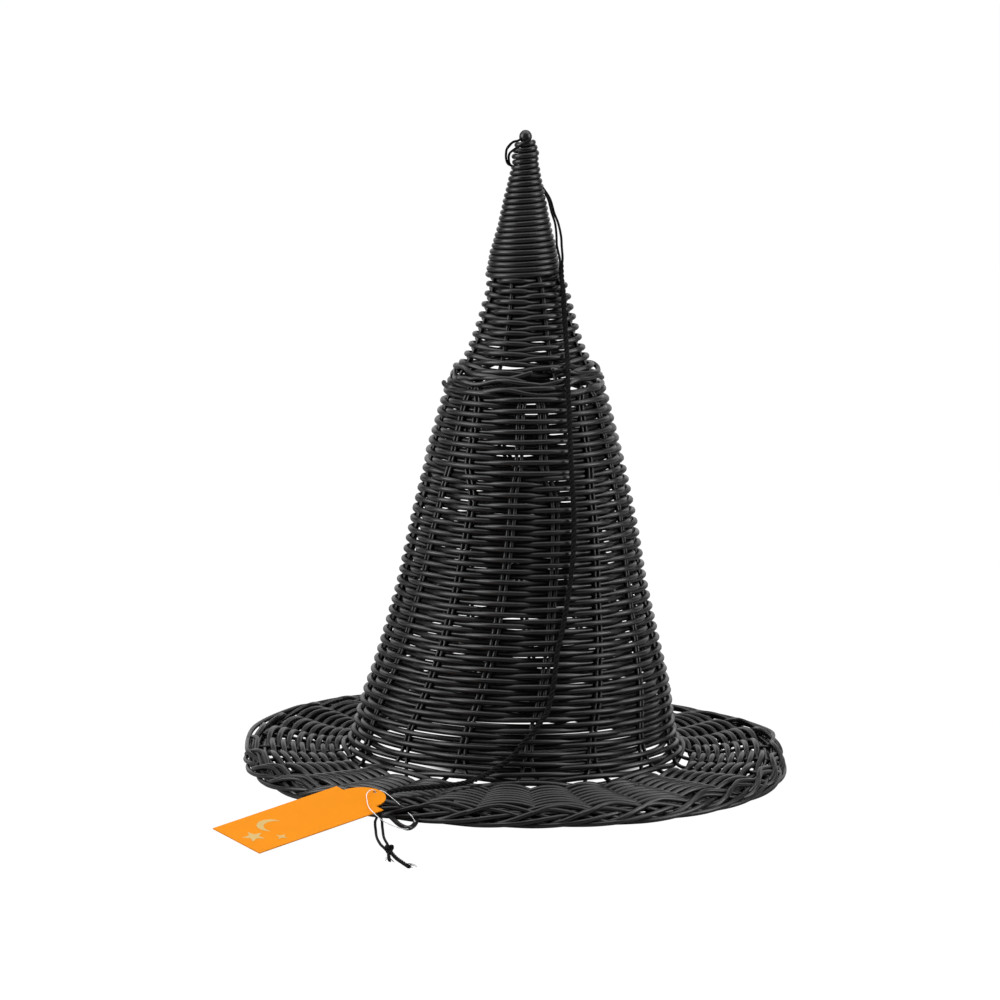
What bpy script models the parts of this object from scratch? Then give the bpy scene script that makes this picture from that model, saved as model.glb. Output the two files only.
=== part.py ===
"""Woven witch hat: wound tip, two-stage woven cone, woven brim, plaited border, cord and tag.

Origin: centre of the hat's base, on the surface it stands on. +Z up, -Y to the front.
"""
import math

import bmesh
import bpy
from mathutils import Euler, Matrix, Vector

# Driving dimensions, in millimetres
MM = 0.001
STRAND = 2.8            # weaving strand, solid size of the wound tip
ROD = 2.2               # stake rod
WALL_INNER = 1.9        # band's inner face above the stake centre line
WALL_OUTER = 4.1        # band's outer face above the stake centre line
JOIN_GAP = 0.5          # between one weaver length and the next
FLARE_GAP = 2.5         # further out, where the cone's last rows lean over the brim's first
UPPER_RODS = 7
UPPER_TURN = -115.3     # degrees from +X to the first upper rod
CROWN_PAIRS = 15
CROWN_TURN = -96.0      # degrees from +X to the first crown pair, at the cone's shoulder
CROWN_LEAN = -14.0      # degrees that the pairs have turned by the foot of the cone
LEAN_START = 158.0      # heights between which they lean
LEAN_END = 33.0
PAIR_SPACING = 2.9      # between the two rods of a pair
WRAP_TURNS = 24
WRAP_STEPS = 8          # points in one turn
BALL_RADIUS = 3.8
BALL_HEIGHT = 365.0
BAND_SEGMENTS = 36
BORDER_SEGMENTS = 60
SCALLOPS = 36
CORD_SIZE = 3.6         # two strands of 1.8 laid together
CORD_STEP = 9.5
THREAD_SIZE = 0.6

# Stake centre line from under the wound tip to the border: (radius, height)
STAKE_LINE = [(19.2, 281.0), (23.1, 265.7), (26.4, 254.2), (30.3, 242.7), (33.0, 237.0), (38.2, 231.0),
              (43.4, 217.5), (47.3, 202.5), (53.6, 179.4), (61.7, 144.6), (68.1, 109.6), (76.9, 74.5),
              (85.3, 45.2), (91.0, 18.7), (94.2, 11.5), (99.5, 8.5), (141.0, 8.5)]
UPPER_END = 231.5       # height where the upper rods stop
CROWN_START = 228.8     # height where the crown rods start
FLARE_RADIUS = 99.5     # where the cone has turned into the brim

# Outer surface of the wound tip: (radius, height)
WRAP_LINE = [(21.9, 284.8), (20.8, 291.0), (19.2, 300.0), (17.2, 307.0), (15.0, 315.6), (13.4, 323.5),
             (11.6, 331.7), (9.4, 341.4), (8.2, 347.0), (7.5, 350.0), (8.4, 354.4), (5.9, 360.6)]

# Border ring section, clockwise from the top: (radius, height)
BORDER_SECTION = [(150.0, 10.2), (154.5, 8.6), (157.0, 5.2), (155.6, 1.4), (153.5, 0.0),
                  (145.5, 0.0), (142.6, 2.0), (141.9, 6.5), (143.8, 9.6)]
BORDER_STRAND_RADIUS = 149.5
BORDER_STRAND_SWING = 3.4
BORDER_STRAND_HEIGHT = 12.0

# Hanging cord: under the ball, behind the tip, down the front, over the border, to its knot
CORD_ROUTE = [(-6.7, 0.0, 363.4), (-11.1, -0.6, 358.5), (-11.8, 0.6, 353.5), (-10.4, 3.9, 349.5),
              (-5.4, 9.9, 346.0), (2.0, 12.0, 342.0), (8.3, 10.3, 338.5), (12.0, 6.0, 334.6),
              (14.6, 0.6, 329.0), (16.2, -3.9, 321.7), (18.4, -5.8, 315.6), (19.3, -6.8, 309.0),
              (19.6, -7.9, 303.4), (20.7, -9.5, 296.5), (21.0, -10.9, 290.1), (21.6, -14.7, 283.1),
              (22.4, -17.1, 277.8), (23.3, -21.0, 265.7), (24.3, -24.9, 253.7), (25.3, -30.1, 241.6),
              (25.7, -35.7, 235.6), (26.0, -39.9, 227.4), (26.9, -45.1, 212.2), (27.8, -50.4, 193.2),
              (28.8, -54.1, 179.3), (30.5, -59.3, 155.3), (30.3, -64.4, 132.9), (27.8, -69.7, 111.1),
              (25.2, -74.8, 95.0), (22.7, -78.4, 84.2), (20.8, -84.0, 66.0), (17.7, -88.7, 52.1),
              (12.2, -91.7, 43.5), (4.9, -94.1, 34.9), (-2.7, -96.0, 25.9), (-15.3, -99.5, 17.6),
              (-27.8, -113.0, 15.4), (-45.3, -124.5, 15.4), (-57.7, -132.5, 16.0), (-66.5, -138.5, 15.8),
              (-72.8, -140.9, 12.2), (-77.2, -143.6, 7.5), (-78.2, -149.0, 2.6), (-77.2, -159.0, 1.9),
              (-75.9, -171.0, 1.9), (-72.8, -188.0, 1.9), (-67.9, -205.3, 1.9)]
KNOT_CENTRE = (-66.6, -209.8, 2.9)
KNOT_RADIUS = 2.7
TAIL_ROUTE = [(-64.9, -214.2, 1.4), (-63.3, -222.0, 1.3), (-60.5, -232.5, 1.3), (-56.2, -242.5, 1.3),
              (-53.7, -250.0, 1.3)]
TUFT_ROUTE = [(-68.6, -214.2, 1.3), (-69.4, -219.0, 1.3), (-68.6, -225.0, 1.3)]

# Swing tag: card in its own plane, length along +X from the far end, width along +Y
TAG_LENGTH = 86.4
TAG_WIDTH = 39.3
TAG_THICKNESS = 0.6
TAB_RADIUS = 13.4
TAB_REACH = 15.0
TAG_HOLE = (98.0, 20.5)
TAG_HOLE_RADIUS = 1.3
TAG_CORNER = (-134.1, -224.9, 0.7)
TAG_TILT = (9.0, -7.4, 42.2)        # degrees: roll to the front, head up, heading
TAG_PIVOT = (-76.0, -144.9, 16.4)   # middle of the tag's hole, where it turns on the thread

# Nylon thread: out of the border, up through the tag's hole, over its edge and back
THREAD_ROUTE = [(-62.4, -147.0, 10.4), (-66.6, -146.6, 13.9), (-70.8, -142.6, 16.2), (-73.8, -140.0, 16.4),
                (-76.0, -142.6, 15.2), (-76.0, -144.7, 15.4), (-76.0, -144.9, 16.4), (-76.1, -145.3, 17.6),
                (-78.6, -147.6, 18.2), (-80.3, -151.6, 16.8), (-79.8, -158.0, 15.1), (-78.8, -166.0, 13.6),
                (-76.4, -173.0, 12.4), (-70.4, -176.2, 8.0), (-62.8, -171.6, 3.5), (-57.7, -166.7, 1.5),
                (-53.5, -159.1, 2.0), (-54.9, -150.8, 4.0), (-57.7, -147.7, 6.2)]

PLASTIC = (0.035, 0.034, 0.036, 1.0)
CORD_COLOUR = (0.008, 0.008, 0.009, 1.0)
ORANGE = (0.90, 0.27, 0.01, 1.0)
NYLON = (0.85, 0.85, 0.85, 1.0)
WOOD = (0.30, 0.20, 0.11, 1.0)


def clear_scene():
    for old in list(bpy.data.objects):
        bpy.data.objects.remove(old, do_unlink=True)


def new_collection(name):
    collection = bpy.data.collections.new(name)
    bpy.context.scene.collection.children.link(collection)
    return collection


def material(name, colour, roughness):
    result = bpy.data.materials.new(name)
    result.use_nodes = True
    shader = result.node_tree.nodes["Principled BSDF"]
    shader.inputs["Base Color"].default_value = colour
    shader.inputs["Roughness"].default_value = roughness
    shader.inputs["Metallic"].default_value = 0.0
    return result


def place(name, data, collection, colour, roughness):
    """Put mesh or curve data in the hat's collection as one named piece."""
    piece = bpy.data.objects.new(name, data)
    data.materials.append(material(name, colour, roughness))
    collection.objects.link(piece)
    return piece


def polar(radius, angle, height):
    return Vector((radius * math.cos(angle), radius * math.sin(angle), height))


def smooth_route(route, step):
    """Points every step along a Catmull-Rom curve through the route."""
    knots = [Vector(point) for point in route]
    knots = [2 * knots[0] - knots[1]] + knots + [2 * knots[-1] - knots[-2]]
    fine = []
    for before, start, end, after in zip(knots, knots[1:], knots[2:], knots[3:]):
        for share in range(12):
            t = share / 12
            fine.append(0.5 * (2 * start + (end - before) * t
                               + (2 * before - 5 * start + 4 * end - after) * t ** 2
                               + (3 * start - before - 3 * end + after) * t ** 3))
    fine.append(knots[-2])
    return spaced(fine, step)


def spaced(points, step):
    """Resample a dense polyline at equal steps, keeping both ends."""
    lengths = [0.0]
    for a, b in zip(points, points[1:]):
        lengths.append(lengths[-1] + (b - a).length)
    count = max(2, round(lengths[-1] / step))
    result = []
    index = 0
    for k in range(count + 1):
        target = lengths[-1] * k / count
        while index < len(points) - 2 and lengths[index + 1] < target:
            index += 1
        span = lengths[index + 1] - lengths[index]
        share = (target - lengths[index]) / span
        result.append(points[index].lerp(points[index + 1], min(1.0, share)))
    return result


def tube(name, points, size, collection, colour, roughness, sides=6, closed=False):
    """A round strand: poly spline with a bevel and filled caps."""
    curve = bpy.data.curves.new(name, "CURVE")
    curve.dimensions = "3D"
    curve.bevel_depth = size / 2 * MM
    curve.bevel_resolution = (sides - 4) // 2
    curve.use_fill_caps = True
    curve.render_resolution_u = 0
    spline = curve.splines.new("POLY")
    spline.points.add(len(points) - 1)
    for control, point in zip(spline.points, points):
        control.co = (*(Vector(point) * MM), 1.0)
    spline.use_cyclic_u = closed
    return place(name, curve, collection, colour, roughness)


def turned(name, section, segments, collection, colour, roughness, closed=True):
    """A turned piece: (radius, height) section with a Screw modifier."""
    form = bmesh.new()
    corners = [form.verts.new((radius * MM, 0.0, height * MM)) for radius, height in section]
    for a, b in zip(corners, corners[1:]):
        form.edges.new((a, b))
    if closed:
        form.edges.new((corners[-1], corners[0]))
    mesh = bpy.data.meshes.new(name)
    form.to_mesh(mesh)
    form.free()
    piece = place(name, mesh, collection, colour, roughness)
    screw = piece.modifiers.new("turn", "SCREW")
    screw.axis = "Z"
    screw.steps = segments
    screw.render_steps = segments
    screw.use_merge_vertices = True
    screw.merge_threshold = 0.00001
    screw.use_smooth_shade = True
    return piece


def stake_cut(start, end):
    """Stake line between two lengths measured along it from its top."""
    found = []
    run = 0.0
    for a, b in zip(STAKE_LINE, STAKE_LINE[1:]):
        low, high = Vector(a), Vector(b)
        span = (high - low).length
        for limit in (start, end):
            if run <= limit < run + span:
                found.append((limit, low.lerp(high, (limit - run) / span)))
        if start < run + span < end:
            found.append((run + span, high))
        run += span
    return [point for _, point in sorted(found, key=lambda entry: entry[0])]


def length_to(test):
    """Length along the stake line to the first place where test(radius, height) holds."""
    run = 0.0
    for a, b in zip(STAKE_LINE, STAKE_LINE[1:]):
        low, high = Vector(a), Vector(b)
        for share in range(100):
            point = low.lerp(high, share / 100)
            if test(point.x, point.y):
                return run + (high - low).length * share / 100
        run += (high - low).length
    return run


def offset(line, distance):
    """Move a (radius, height) line outwards along its mitred normals."""
    result = []
    for index, point in enumerate(line):
        before = (point - line[index - 1]).normalized() if index else None
        after = (line[index + 1] - point).normalized() if index < len(line) - 1 else None
        before = before or after
        after = after or before
        normal = Vector((-before.y - after.y, before.x + after.x)).normalized()
        cosine = normal.dot(Vector((-before.y, before.x)))
        result.append(point + normal * (distance / cosine))
    return result


def weaver_bands(prefix, start, end, count, collection):
    """Turned bands, each for the rows that one length of strand lays outside the stakes."""
    share = (end - start) / count
    for number in range(count):
        line = stake_cut(start + share * number, start + share * (number + 1) - JOIN_GAP)
        section = offset(line, WALL_OUTER) + offset(line, WALL_INNER)[::-1]
        turned(f"{prefix}_{number + 1}", section, BAND_SEGMENTS, collection, PLASTIC, 0.45)


def hairpin(line, heading, spread):
    """One rod folded in two: both legs of a stake pair, joined at the top."""
    legs = []
    for side in (-1, 1):
        legs.append([polar(p.x, heading(p.y) + side * spread(p.x), p.y) for p in line])
    top = (legs[0][0] + legs[1][0]) / 2 + Vector((0.0, 0.0, ROD * 0.5))
    return legs[0][::-1] + [top] + legs[1]


def add_upper_stakes(collection):
    line = stake_cut(0.1, length_to(lambda radius, height: height < UPPER_END))
    for number in range(UPPER_RODS):
        angle = math.radians(UPPER_TURN) + 2 * math.pi * number / UPPER_RODS
        points = [polar(p.x, angle, p.y) for p in line]
        tube(f"upper_stake_{number + 1}", points, ROD, collection, PLASTIC, 0.45)


def crown_spread(radius):
    """Half angle between a pair's legs: side by side on the cone, evenly fanned in the brim."""
    together = PAIR_SPACING / 2 / radius
    fanned = math.pi / CROWN_PAIRS / 2
    share = min(1.0, max(0.0, (radius - 85.0) / (FLARE_RADIUS - 85.0)))
    return together + (fanned - together) * share


def crown_heading(number, height):
    """Angle of a crown pair: the pairs lean round the axis on their way down the cone."""
    share = min(1.0, max(0.0, (LEAN_START - height) / (LEAN_START - LEAN_END)))
    return math.radians(CROWN_TURN + CROWN_LEAN * share) + 2 * math.pi * number / CROWN_PAIRS


def add_crown_stakes(collection):
    start = length_to(lambda radius, height: height < CROWN_START)
    line = stake_cut(start, length_to(lambda radius, height: radius > 141.0) - 0.01)
    for number in range(CROWN_PAIRS):
        points = hairpin(line, lambda height: crown_heading(number, height), crown_spread)
        tube(f"crown_stake_{number + 1:02d}", points, ROD, collection, PLASTIC, 0.45)


def wrap_radius(height):
    """Outer radius of the wound tip at a height."""
    for (low_r, low_z), (high_r, high_z) in zip(WRAP_LINE, WRAP_LINE[1:]):
        if height <= high_z:
            return low_r + (high_r - low_r) * (height - low_z) / (high_z - low_z)
    return WRAP_LINE[-1][0]


def add_tip(collection):
    low = WRAP_LINE[0][1] + STRAND / 2
    high = WRAP_LINE[-1][1] - STRAND / 2
    points = []
    for step in range(WRAP_TURNS * WRAP_STEPS + 1):
        turn = step / WRAP_STEPS
        height = low + (high - low) * turn / WRAP_TURNS
        points.append(polar(wrap_radius(height) - STRAND / 2, 2 * math.pi * turn, height))
    tube("tip_wrap", points, STRAND, collection, PLASTIC, 0.45)

    inset = math.cos(math.pi / WRAP_STEPS)
    core = [(max(1.8, (radius - STRAND / 2) * inset - STRAND / 2 - 0.6), height)
            for radius, height in reversed(WRAP_LINE)]
    core = [(0.0, core[0][1])] + core + [(14.6, 268.0), (0.0, 268.0)]
    turned("tip_core", core, 16, collection, WOOD, 0.7, closed=False)

    ball = bmesh.new()
    bmesh.ops.create_uvsphere(ball, u_segments=16, v_segments=10, radius=BALL_RADIUS * MM)
    mesh = bpy.data.meshes.new("tip_ball")
    ball.to_mesh(mesh)
    ball.free()
    mesh.shade_smooth()
    piece = place("tip_ball", mesh, collection, PLASTIC, 0.3)
    piece.location = (0.0, 0.0, BALL_HEIGHT * MM)


def add_border(collection):
    turned("border_ring", BORDER_SECTION, BORDER_SEGMENTS, collection, PLASTIC, 0.45)
    points = []
    for step in range(SCALLOPS * 3):
        angle = 2 * math.pi * step / (SCALLOPS * 3)
        swing = BORDER_STRAND_SWING * math.cos(SCALLOPS * angle)
        points.append(polar(BORDER_STRAND_RADIUS + swing, angle, BORDER_STRAND_HEIGHT))
    tube("border_strand", points, STRAND, collection, PLASTIC, 0.45, closed=True)


def add_cord(collection):
    tube("hanging_cord", smooth_route(CORD_ROUTE, CORD_STEP), CORD_SIZE, collection,
         CORD_COLOUR, 0.85, sides=8)
    tube("cord_tail", smooth_route(TAIL_ROUTE, 6.0), 2.4, collection, CORD_COLOUR, 0.85, sides=8)
    tube("cord_tuft", smooth_route(TUFT_ROUTE, 4.0), 2.2, collection, CORD_COLOUR, 0.85, sides=8)
    knot = bmesh.new()
    bmesh.ops.create_icosphere(knot, subdivisions=2, radius=KNOT_RADIUS * MM)
    mesh = bpy.data.meshes.new("cord_knot")
    knot.to_mesh(mesh)
    knot.free()
    piece = place("cord_knot", mesh, collection, CORD_COLOUR, 0.85)
    piece.location = Vector(KNOT_CENTRE) * MM


def tag_outline():
    """Card with square far corners, shoulders and a round tab at its head."""
    middle = TAG_WIDTH / 2
    outline = [(0.0, 0.0), (TAG_LENGTH, 0.0), (TAG_LENGTH, middle - TAB_RADIUS)]
    for step in range(1, 12):
        angle = math.pi * step / 12
        outline.append((TAG_LENGTH + TAB_REACH * math.sin(angle), middle - TAB_RADIUS * math.cos(angle)))
    outline += [(TAG_LENGTH, middle + TAB_RADIUS), (TAG_LENGTH, TAG_WIDTH), (0.0, TAG_WIDTH)]
    return outline


def ring_outline(centre, radius, count):
    return [(centre[0] + radius * math.cos(2 * math.pi * k / count),
             centre[1] + radius * math.sin(2 * math.pi * k / count)) for k in range(count)]


def add_tag(collection):
    pivot = bpy.data.objects.new("tag_pivot", None)
    pivot.location = Vector(TAG_PIVOT) * MM
    collection.objects.link(pivot)
    curve = bpy.data.curves.new("swing_tag", "CURVE")
    curve.dimensions = "2D"
    curve.fill_mode = "BOTH"
    curve.extrude = TAG_THICKNESS / 2 * MM
    for outline in (tag_outline(), ring_outline(TAG_HOLE, TAG_HOLE_RADIUS, 12)):
        spline = curve.splines.new("POLY")
        spline.points.add(len(outline) - 1)
        for control, (x, y) in zip(spline.points, outline):
            control.co = (x * MM, y * MM, 0.0, 1.0)
        spline.use_cyclic_u = True
    tag = place("swing_tag", curve, collection, ORANGE, 0.45)
    turn = Euler([math.radians(angle) for angle in TAG_TILT]).to_matrix().to_4x4()
    tag.parent = pivot
    tag.matrix_basis = Matrix.Translation((Vector(TAG_CORNER) - Vector(TAG_PIVOT)) * MM) @ turn
    tube("tag_thread", smooth_route(THREAD_ROUTE, 3.0), THREAD_SIZE, collection, NYLON, 0.15)


def build():
    clear_scene()
    hat = new_collection("witch_hat")
    add_tip(hat)
    add_upper_stakes(hat)
    add_crown_stakes(hat)
    shoulder = length_to(lambda radius, height: height < CROWN_START)
    flare = length_to(lambda radius, height: radius >= FLARE_RADIUS)
    border = length_to(lambda radius, height: radius > 140.8)
    weaver_bands("upper_weaver", 0.2, shoulder, 2, hat)
    weaver_bands("crown_weaver", shoulder, flare, 9, hat)
    weaver_bands("brim_weaver", flare + FLARE_GAP, border, 3, hat)
    add_border(hat)
    add_cord(hat)
    add_tag(hat)


build()
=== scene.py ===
"""Woven witch hat: the looks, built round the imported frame. Metres, +Z up, -Y to the front."""
import math
import random

import bpy
import numpy as np
from mathutils import Euler, Matrix, Vector


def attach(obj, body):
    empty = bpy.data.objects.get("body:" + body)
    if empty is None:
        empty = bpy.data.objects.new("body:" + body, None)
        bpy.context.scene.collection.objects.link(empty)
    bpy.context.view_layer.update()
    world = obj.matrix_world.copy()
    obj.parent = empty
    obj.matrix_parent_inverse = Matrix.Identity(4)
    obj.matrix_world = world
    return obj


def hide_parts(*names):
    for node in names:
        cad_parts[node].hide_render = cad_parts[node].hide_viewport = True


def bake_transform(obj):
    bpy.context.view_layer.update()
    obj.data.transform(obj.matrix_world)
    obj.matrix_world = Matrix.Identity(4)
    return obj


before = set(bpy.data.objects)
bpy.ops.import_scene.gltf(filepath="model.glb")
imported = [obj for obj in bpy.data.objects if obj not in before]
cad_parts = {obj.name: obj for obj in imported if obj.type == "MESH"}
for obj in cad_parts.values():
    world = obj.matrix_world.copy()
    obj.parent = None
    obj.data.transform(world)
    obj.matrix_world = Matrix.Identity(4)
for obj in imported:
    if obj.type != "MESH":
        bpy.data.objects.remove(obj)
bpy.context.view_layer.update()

MM = 0.001
rng = random.Random(31)

# ---------------------------------------------------------------- dimensions, in millimetres
STRAND = 3.22           # weaving strand of the cone
ROD = 2.2               # stake rod
ROD_STEP = 2.0          # between the points along a rod
BRIM_STRAND = 3.4       # weaving strand of the brim
WRAP_STRAND = 3.22      # strand of the wound tip
WEAVE = 2.5             # how far a weaver's centre stands off the stake line
PAIR_SPACING = 2.9      # between the two rods of a crown pair
UPPER_UNITS = 7         # single rods in the upper cone
CROWN_UNITS = 15        # pairs of rods in the crown
BRIM_UNITS = 30         # single rods in the brim
ROW_UPPER = 3.03        # rows, measured down the slope
ROW_CROWN = 3.08
ROW_BRIM = 2.82
SIDES = 10              # of a swept strand

# The line of the stakes down the hat: (radius, height)
STAKE_LINE = [(16.9, 290.0), (19.6, 279.4), (23.1, 265.7), (26.4, 254.2), (30.3, 242.7), (33.0, 237.0),
              (38.2, 231.0), (40.3, 225.5), (43.4, 217.5), (47.3, 202.5), (53.6, 179.4), (61.7, 144.6),
              (68.1, 109.6), (76.9, 74.5), (85.3, 45.2), (91.0, 18.7), (94.2, 11.5), (99.5, 8.5),
              (145.0, 8.5), (153.0, 6.0)]
UPPER_START = 287.0     # height of the upper cone's first row
UPPER_END = 232.4       # height of its last row
CROWN_START = 226.6     # height of the crown's first row
REGROUP = 178.0         # height below which each pair is woven on its own
FLARE_RADIUS = 99.5     # radius where the brim's rows take over
BRIM_END = 144.0        # radius of the brim's last row
FAN = (88.0, 101.0)     # radii over which each pair parts into two single rods
# How far the rim stands above an even height: (degrees from the front towards +X, lift)
RIM_LIFT = [(-180.0, 3.0), (-145.0, 4.2), (-125.0, 5.2), (-105.0, 4.8), (-85.0, 3.6), (-60.0, 1.2),
            (-40.0, 0.0), (40.0, 0.0), (60.0, 1.0), (85.0, 3.6), (105.0, 5.2), (118.0, 4.2),
            (130.0, 2.3), (150.0, 2.0), (180.0, 3.0)]
LIFT_GROWS = (112.0, 150.0)     # radii over which that lift comes in
CONE_SHIFT = 2.1        # the woven cone stands this far towards +X of the tip and the brim
SHIFT_GROWS = (24.0, 62.0)      # heights over which the shift comes in from below
SHIFT_FADES = (292.0, 274.0)    # and from above
# How steeply the rows rise towards +X: (height, slope)
ROW_TILT = [(120.0, 0.0), (180.0, 0.01), (235.0, 0.016), (270.0, 0.02), (290.0, 0.045)]

# The outside of the wound tip: (radius, height)
WRAP_LINE = [(21.9, 284.8), (20.8, 291.0), (19.2, 300.0), (17.2, 307.0), (15.0, 315.6), (13.4, 323.5),
             (11.6, 331.7), (9.4, 341.4), (8.2, 347.0), (7.5, 350.0), (8.0, 354.4), (6.0, 361.0)]
WRAP_TURNS = 24
WRAP_SHIFT = -0.5       # the winding's centre along X
BALL_CENTRE = (-0.6, 0.0, 364.3)

# The hanging cord's centreline from under the ball, down the front and over the border to the knot
CORD_ROUTE = [(-6.7, 0.0, 363.4), (-11.1, -0.6, 358.5), (-11.8, 0.6, 353.5), (-10.4, 3.9, 349.5),
              (-5.4, 9.9, 346.0), (2.0, 12.0, 342.0), (8.3, 10.3, 338.5), (12.0, 6.0, 334.6),
              (14.6, 0.6, 329.0), (16.2, -3.9, 321.7), (18.4, -5.8, 315.6), (19.3, -6.8, 309.0),
              (19.6, -7.9, 303.4), (20.7, -9.5, 296.5), (21.0, -10.9, 290.1), (21.6, -14.7, 283.1),
              (22.4, -17.1, 277.8), (23.3, -21.0, 265.7), (24.3, -24.9, 253.7), (25.3, -30.1, 241.6),
              (25.7, -35.7, 235.6), (26.0, -39.9, 227.4), (26.9, -45.1, 212.2), (27.8, -50.4, 193.2),
              (28.8, -54.1, 179.3), (30.5, -59.3, 155.3), (30.3, -64.4, 132.9), (27.8, -69.7, 111.1),
              (25.2, -74.8, 95.0), (22.7, -78.4, 84.2), (20.8, -84.0, 66.0), (17.7, -88.7, 52.1),
              (12.2, -91.7, 43.5), (4.9, -94.1, 34.9), (-2.7, -96.0, 25.9), (-15.3, -99.5, 17.6),
              (-27.8, -113.0, 15.4), (-45.3, -124.5, 15.4), (-57.7, -132.5, 16.0), (-66.5, -138.5, 15.8),
              (-71.6, -141.2, 12.4), (-73.5, -144.0, 7.5), (-73.6, -149.4, 2.6), (-73.3, -159.0, 1.9),
              (-72.6, -171.0, 1.9), (-71.0, -192.0, 1.9), (-66.5, -218.2, 2.3)]
CORD_JOIN = 95.3        # length from the exit to where the two loose strands are laid together
CORD_PART = 484.0       # length from the exit to where its strands lie apart again
# The two strands that lie loose round the tip until they join the cord
LEFT_STRAND = [(2.0, -2.8, 362.4), (1.2, -6.0, 362.6), (-2.5, -7.2, 360.3), (-7.4, -5.8, 357.0),
               (-9.5, -3.0, 354.7), (-9.9, -0.5, 351.9), (-9.1, 4.2, 348.0), (-5.4, 8.3, 345.2),
               (0.6, 10.3, 341.6), (5.4, 9.9, 338.0), (9.0, 7.4, 334.4), (12.7, 0.2, 329.4),
               (14.8, -4.3, 322.5), (17.0, -5.9, 316.0), (17.9, -7.2, 309.5), (18.3, -8.6, 303.4),
               (19.9, -10.0, 297.2), (20.4, -11.0, 293.4)]
RIGHT_STRAND = [(-2.4, -2.4, 363.6), (-4.9, -2.2, 362.0), (-7.9, -1.6, 361.0), (-10.9, -1.2, 357.5),
                (-11.5, -0.5, 353.5), (-11.0, 1.5, 349.9), (-9.4, 5.0, 347.7), (-5.4, 9.6, 346.0),
                (1.6, 11.4, 342.2), (6.6, 10.0, 338.4), (10.0, 7.6, 334.6), (14.0, 0.6, 329.0),
                (16.4, -3.2, 321.7), (18.8, -5.2, 316.0), (20.5, -6.6, 309.0), (21.0, -7.6, 303.4),
                (21.6, -9.0, 297.0), (21.4, -10.4, 293.4)]
CORD_STRAND = 1.5
CORD_LAY = 9.0          # length of one turn of the twist
LOOSE_STRAND = 1.4
FIBRE = 0.42            # of the frayed ends
KNOT_CENTRE = (-65.6, -219.5, 3.2)
TAIL_ROUTE = [(-65.2, -220.2, 2.0), (-61.4, -232.4, 1.3), (-57.6, -242.5, 1.3), (-54.0, -251.5, 1.3)]
TUFT_ROUTE = [(-65.9, -220.6, 1.9), (-65.4, -231.0, 1.3), (-64.8, -238.0, 1.3)]
# The tag's thread from the border, through the card's hole, round in front and back
THREAD_ROUTE = [(-62.4, -147.0, 10.4), (-66.6, -146.6, 13.9), (-70.8, -142.6, 16.2), (-73.8, -140.0, 16.4),
                (-76.0, -142.6, 15.2), (-76.0, -144.7, 15.4), (-76.0, -144.9, 16.4), (-76.1, -145.3, 17.6),
                (-78.6, -147.6, 18.2), (-80.3, -151.6, 16.8), (-79.8, -158.0, 15.1), (-78.8, -166.0, 13.6),
                (-76.4, -173.0, 12.4), (-70.4, -176.2, 8.0), (-62.8, -171.6, 3.5), (-57.7, -166.7, 1.5),
                (-53.5, -159.1, 2.0), (-54.9, -150.8, 4.0), (-57.7, -147.7, 6.2)]
THREAD_DRAWN = 0.46     # and as drawn
TAG_CORNER = (-134.1, -224.9, 0.7)      # the card's corner where its own axes start
TAG_TILT = (9.0, -7.4, 42.2)            # degrees about X, Y and Z
TAG_THICKNESS = 0.6


# ---------------------------------------------------------------- camera, floor and light
def add_camera():
    data = bpy.data.cameras.new("camera")
    data.lens = 160.33
    data.sensor_width = 36.0
    data.clip_end = 100.0
    camera = bpy.data.objects.new("camera", data)
    bpy.context.scene.collection.objects.link(camera)
    place = Vector((0.0, -2.51816, 0.56167))
    aim = Vector((-0.01132, 0.0, 0.15597))
    roll = 0.01818
    forward = (aim - place).normalized()
    right = forward.cross(Vector((0.0, 0.0, 1.0))).normalized()
    up = right.cross(forward)
    right, up = (right * math.cos(roll) + up * math.sin(roll),
                 up * math.cos(roll) - right * math.sin(roll))
    camera.matrix_world = Matrix((right, up, -forward)).transposed().to_4x4()
    camera.location = place
    bpy.context.scene.camera = camera


def area_light(name, place, aim, size, power, colour=(1.0, 1.0, 1.0)):
    data = bpy.data.lights.new(name, "AREA")
    data.shape = "RECTANGLE"
    data.size, data.size_y = size
    data.energy = power
    data.color = colour
    lamp = bpy.data.objects.new(name, data)
    lamp.location = place
    lamp.rotation_euler = (Vector(aim) - Vector(place)).to_track_quat("-Z", "Y").to_euler()
    lamp.visible_camera = False
    bpy.context.scene.collection.objects.link(lamp)


def add_world():
    """White to the camera, and only a faint fill to everything else."""
    bpy.context.scene.view_settings.view_transform = "Standard"
    world = bpy.data.worlds.new("studio")
    world.use_nodes = True
    nodes, links = world.node_tree.nodes, world.node_tree.links
    sky = nodes["Background"]
    sky.inputs["Color"].default_value = (1.0, 1.0, 1.0, 1.0)
    sky.inputs["Strength"].default_value = 0.03
    white = nodes.new("ShaderNodeBackground")
    white.inputs["Color"].default_value = (1.0, 1.0, 1.0, 1.0)
    white.inputs["Strength"].default_value = 1.05
    rays = nodes.new("ShaderNodeLightPath")
    mix = nodes.new("ShaderNodeMixShader")
    links.new(rays.outputs["Is Camera Ray"], mix.inputs[0])
    links.new(sky.outputs[0], mix.inputs[1])
    links.new(white.outputs[0], mix.inputs[2])
    links.new(mix.outputs[0], nodes["World Output"].inputs["Surface"])
    bpy.context.scene.world = world


SHADE_CENTRE = (0.01, 0.03, 0.0)        # the floor is in shade inside the hat
SHADE_RADIUS = 0.072


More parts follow.
